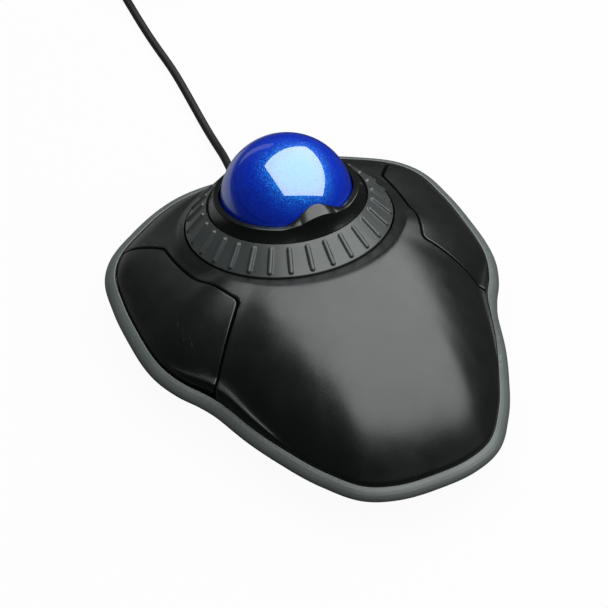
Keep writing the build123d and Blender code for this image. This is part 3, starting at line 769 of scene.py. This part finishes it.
def pearl():
    """Blue resin full of fine pearl flakes, under a clear polished coat."""
    material, tree, shader = new_material("ball_blue_pearl")
    place = tree.nodes.new("ShaderNodeTexCoord")
    flakes = tree.nodes.new("ShaderNodeTexVoronoi")
    flakes.inputs["Scale"].default_value = 4400.0
    tree.links.new(place.outputs["Object"], flakes.inputs["Vector"])
    split = tree.nodes.new("ShaderNodeSeparateColor")
    tree.links.new(flakes.outputs["Color"], split.inputs["Color"])
    flake = mapped(tree, split.outputs["Red"], 0.0, 1.0, 0.25, 1.0)
    cloud = mapped(tree, noise(tree, 130.0, 4.0), 0.0, 1.0)
    deep = blended(tree, cloud, (0.0001, 0.005, 0.23), (0.0001, 0.007, 0.28))
    tree.links.new(blended(tree, flake, deep, (0.0002, 0.014, 0.42)), shader.inputs["Base Color"])
    # every flake leans its own way, by a little
    tilt = vector_math(tree, "SUBTRACT", flakes.outputs["Color"], (0.5, 0.5, 0.5))
    scaled = tree.nodes.new("ShaderNodeVectorMath")
    scaled.operation = "SCALE"
    scaled.inputs["Scale"].default_value = 0.22
    tree.links.new(tilt.outputs[0], scaled.inputs[0])
    shape = tree.nodes.new("ShaderNodeNewGeometry")
    leaning = vector_math(tree, "ADD", shape.outputs["Normal"], scaled.outputs[0])
    unit = tree.nodes.new("ShaderNodeVectorMath")
    unit.operation = "NORMALIZE"
    tree.links.new(leaning.outputs[0], unit.inputs[0])
    tree.links.new(unit.outputs[0], shader.inputs["Normal"])
    tree.links.new(mapped(tree, noise(tree, 300.0), 0.32, 0.38), shader.inputs["Roughness"])
    shader.inputs["IOR"].default_value = 2.3
    shader.inputs["Specular Tint"].default_value = (0.04, 0.52, 1.0, 1)
    shader.inputs["Coat Weight"].default_value = 1.0
    shader.inputs["Coat Roughness"].default_value = 0.02
    shader.inputs["Coat IOR"].default_value = 2.0
    return material


def clear_resin():
    material, tree, shader = new_material("lens_clear_resin")
    tree.links.new(mapped(tree, noise(tree, 500.0), 0.02, 0.08), shader.inputs["Roughness"])
    tree.links.new(blended(tree, noise(tree, 200.0), (0.85, 0.9, 0.92), (0.95, 0.97, 0.98)),
                   shader.inputs["Base Color"])
    shader.inputs["Transmission Weight"].default_value = 0.9
    return material


def make_materials():
    """Material of every slot."""
    # the lighter edge colours are partly wear and partly a painted edge highlight
    return {
        "cover_plastic": moulded("cover_charcoal", (0.0038, 0.0046, 0.0043),
                                 (0.0047, 0.0056, 0.0053), 0.34, edge_wear_and_highlight=(0.022, 0.024, 0.024)),
        "band_plastic": moulded("band_satin_grey", (0.048, 0.055, 0.053), (0.058, 0.066, 0.063), 0.45,
                                grain=1900.0, edge_wear_and_highlight=(0.10, 0.105, 0.104)),
        "base_plastic": moulded("base_black", (0.010, 0.011, 0.011), (0.014, 0.015, 0.015), 0.5,
                                grain=1400.0, depth=0.00008, edge_wear_and_highlight=(0.03, 0.03, 0.03)),
        "ring_plastic": moulded("ring_satin_grey", (0.026, 0.029, 0.029), (0.032, 0.035, 0.035), 0.36,
                                grain=2400.0, edge_wear_and_highlight=(0.10, 0.105, 0.105)),
        "collar_plastic": moulded("collar_gloss_black", (0.0028, 0.0034, 0.0033),
                                  (0.0036, 0.0043, 0.0042), 0.22, grain=700.0, depth=0.000004),
        "frame_plastic": moulded("frame_black", (0.02, 0.02, 0.021), (0.03, 0.03, 0.031), 0.55),
        "ball_core": moulded("core_resin", (0.004, 0.03, 0.3), (0.006, 0.05, 0.42), 0.3),
        "ball_blue": pearl(),
        "lens_clear": clear_resin(),
        "bearing_steel": moulded("bearing_steel", (0.55, 0.56, 0.58), (0.62, 0.63, 0.64), 0.16,
                                 depth=0.000004, metallic=1.0),
        "screw_steel": moulded("screw_zinc", (0.42, 0.43, 0.45), (0.52, 0.53, 0.54), 0.32,
                               depth=0.00001, metallic=1.0),
        "pin_steel": moulded("pin_steel", (0.5, 0.5, 0.52), (0.58, 0.58, 0.6), 0.25,
                             depth=0.000008, metallic=1.0),
        "foot_rubber": moulded("foot_rubber", (0.028, 0.028, 0.03), (0.045, 0.045, 0.047), 0.75,
                               grain=1200.0, depth=0.00012),
        "board_green": moulded("board_green", (0.004, 0.07, 0.02), (0.006, 0.1, 0.03), 0.35,
                               grain=900.0),
        "chip_black": moulded("chip_black", (0.012, 0.012, 0.013), (0.02, 0.02, 0.021), 0.55,
                              grain=5000.0),
        "led_red": moulded("led_red", (0.5, 0.01, 0.008), (0.65, 0.015, 0.01), 0.12,
                           depth=0.000004),
        "capacitor_can": moulded("capacitor_sleeve", (0.01, 0.012, 0.05), (0.016, 0.02, 0.07), 0.3),
        "socket_white": moulded("socket_nylon", (0.6, 0.58, 0.5), (0.7, 0.68, 0.6), 0.5),
        "switch_black": moulded("switch_black", (0.015, 0.015, 0.016), (0.024, 0.024, 0.025), 0.45),
        "plunger_red": moulded("plunger_red", (0.4, 0.02, 0.015), (0.5, 0.03, 0.02), 0.4),
        "sensor_black": moulded("sensor_black", (0.01, 0.01, 0.011), (0.016, 0.016, 0.017), 0.4),
        "cord_rubber": moulded("cord_jacket", (0.0035, 0.0040, 0.0039), (0.0055, 0.0062, 0.0060), 0.5,
                               grain=1500.0, depth=0.00006, specular=0.25),
        "tie_plastic": moulded("tie_nylon", (0.012, 0.012, 0.012), (0.02, 0.02, 0.02), 0.5,
                               grain=1800.0, depth=0.00008, edge_wear_and_highlight=(0.05, 0.05, 0.05)),
        "plug_plastic": moulded("plug_moulding", (0.016, 0.017, 0.017), (0.023, 0.024, 0.024), 0.5,
                                grain=1600.0, depth=0.00007, edge_wear_and_highlight=(0.04, 0.04, 0.04)),
        "plug_metal": moulded("plug_nickel", (0.58, 0.57, 0.55), (0.66, 0.65, 0.63), 0.22,
                              depth=0.000008, metallic=1.0),
        "tongue_white": moulded("tongue_white", (0.7, 0.7, 0.68), (0.78, 0.78, 0.76), 0.45),
    }


def dress(pieces, materials):
    """Every CAD node and every new piece takes the material of its slot."""
    slots = {row["node"]: row["material_slot"] for row in frame["record"]["subparts"]}
    for name, node in frame["nodes"].items():
        node.data.materials.clear()
        node.data.materials.append(materials[slots[name]])
    for piece in pieces:
        piece.data.materials.clear()
        piece.data.materials.append(materials[piece["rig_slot"]])


# ---------------------------------------------------------------- stage, lights and camera
def floor():
    """Plain white floor that throws little light back, but for a soft patch behind the object."""
    size = 4.0
    corners = [(-size, -size, 0), (size, -size, 0), (size, size, 0), (-size, size, 0)]
    mesh = bpy.data.meshes.new("floor")
    mesh.from_pydata(corners, [], [(0, 1, 2, 3)])
    ground = bpy.data.objects.new("floor", mesh)
    bpy.context.scene.collection.objects.link(ground)
    material, tree, shader = new_material("floor_white")
    tree.links.new(blended(tree, noise(tree, 3.0), (0.014, 0.014, 0.014), (0.016, 0.016, 0.016)),
                   shader.inputs["Base Color"])
    shader.inputs["Roughness"].default_value = 0.9
    shader.inputs["Specular IOR Level"].default_value = 0.0
    shader.inputs["Emission Strength"].default_value = 1.0
    place = tree.nodes.new("ShaderNodeTexCoord")
    around = vector_math(tree, "DISTANCE", place.outputs["Object"], (-0.06, 0.15, 0.0))
    patch = mapped(tree, around.outputs["Value"], 0.35, 0.0, 0.05, 0.12)
    path = tree.nodes.new("ShaderNodeLightPath")
    seen = blended(tree, path.outputs["Is Camera Ray"], patch, (0.955, 0.955, 0.955))
    tree.links.new(seen, shader.inputs["Emission Color"])
    mesh.materials.append(material)


def area_light(name, middle, toward, width, depth, power, colour=(1, 1, 1)):
    """Rectangular softbox; width lies along the floor's X where it faces down."""
    light = bpy.data.lights.new(name, "AREA")
    light.shape = "RECTANGLE"
    light.size, light.size_y = width, depth
    light.energy = power
    light.color = colour
    lamp = bpy.data.objects.new(name, light)
    back = np.array(middle, float) - np.array(toward, float)
    back /= np.linalg.norm(back)
    side = np.cross([0.0, 1.0, 0.0], back)
    side /= np.linalg.norm(side)
    up = np.cross(back, side)
    turn = Matrix([list(row) for row in np.array([side, up, back]).T]).to_4x4()
    lamp.matrix_world = Matrix.Translation([float(c) for c in middle]) @ turn
    bpy.context.scene.collection.objects.link(lamp)


def lights():
    ball = BALL * MM
    # large softbox over the object, its right side lower than its left
    middle = ball + np.array([0.15, 0.02, 0.71])
    toward = middle - np.array([0.435, 0.0, 0.900])
    area_light("overhead_softbox", middle, toward, 1.33, 1.40, 26.0, (0.965, 1.0, 0.985))
    # dim panel low behind the object
    area_light("rear_panel", ball + np.array([-0.105, 0.99, 0.09]), ball, 0.84, 0.20, 0.18)
    studio()


def studio():
    """Surroundings: pale to the camera, nearly dark to everything else."""
    world = bpy.data.worlds.new("studio")
    bpy.context.scene.world = world
    world.use_nodes = True
    tree = world.node_tree
    ground = tree.nodes["Background"]
    ground.inputs["Color"].default_value = (0.95, 0.97, 1.0, 1)
    ground.inputs["Strength"].default_value = 0.03
    pale = tree.nodes.new("ShaderNodeBackground")
    pale.inputs["Color"].default_value = (1, 1, 1, 1)
    pale.inputs["Strength"].default_value = 0.95
    path = tree.nodes.new("ShaderNodeLightPath")
    mix = tree.nodes.new("ShaderNodeMixShader")
    tree.links.new(path.outputs["Is Camera Ray"], mix.inputs[0])
    tree.links.new(ground.outputs[0], mix.inputs[1])
    tree.links.new(pale.outputs[0], mix.inputs[2])
    tree.links.new(mix.outputs[0], tree.nodes["World Output"].inputs["Surface"])


def camera():
    """Long lens in front of the object, above it and to its left."""
    lens = bpy.data.cameras.new("camera")
    lens.sensor_width = 36.0
    lens.lens = 196.4
    lens.shift_x, lens.shift_y = -0.01786, -0.01508
    lens.clip_start, lens.clip_end = 0.05, 20.0
    eye = bpy.data.objects.new("camera", lens)
    # the camera's own axes
    right = (0.89679, -0.44193, 0.02156)
    up = (0.31165, 0.66552, 0.67820)
    back = (-0.31407, -0.60148, 0.73456)
    turn = Matrix([right, up, back]).transposed().to_4x4()
    eye.matrix_world = Matrix.Translation((-0.31217, -0.58524, 0.74511)) @ turn
    bpy.context.scene.collection.objects.link(eye)
    bpy.context.scene.camera = eye


# ---------------------------------------------------------------- assembly
pieces = [top_cover(), button(1), button(-1), rim_band(), scroll_ring(), ball_collar(), trackball()]
pieces.append(cord())
dress(pieces, make_materials())
floor()
lights()
camera()
bpy.context.scene.view_settings.view_transform = "Standard"
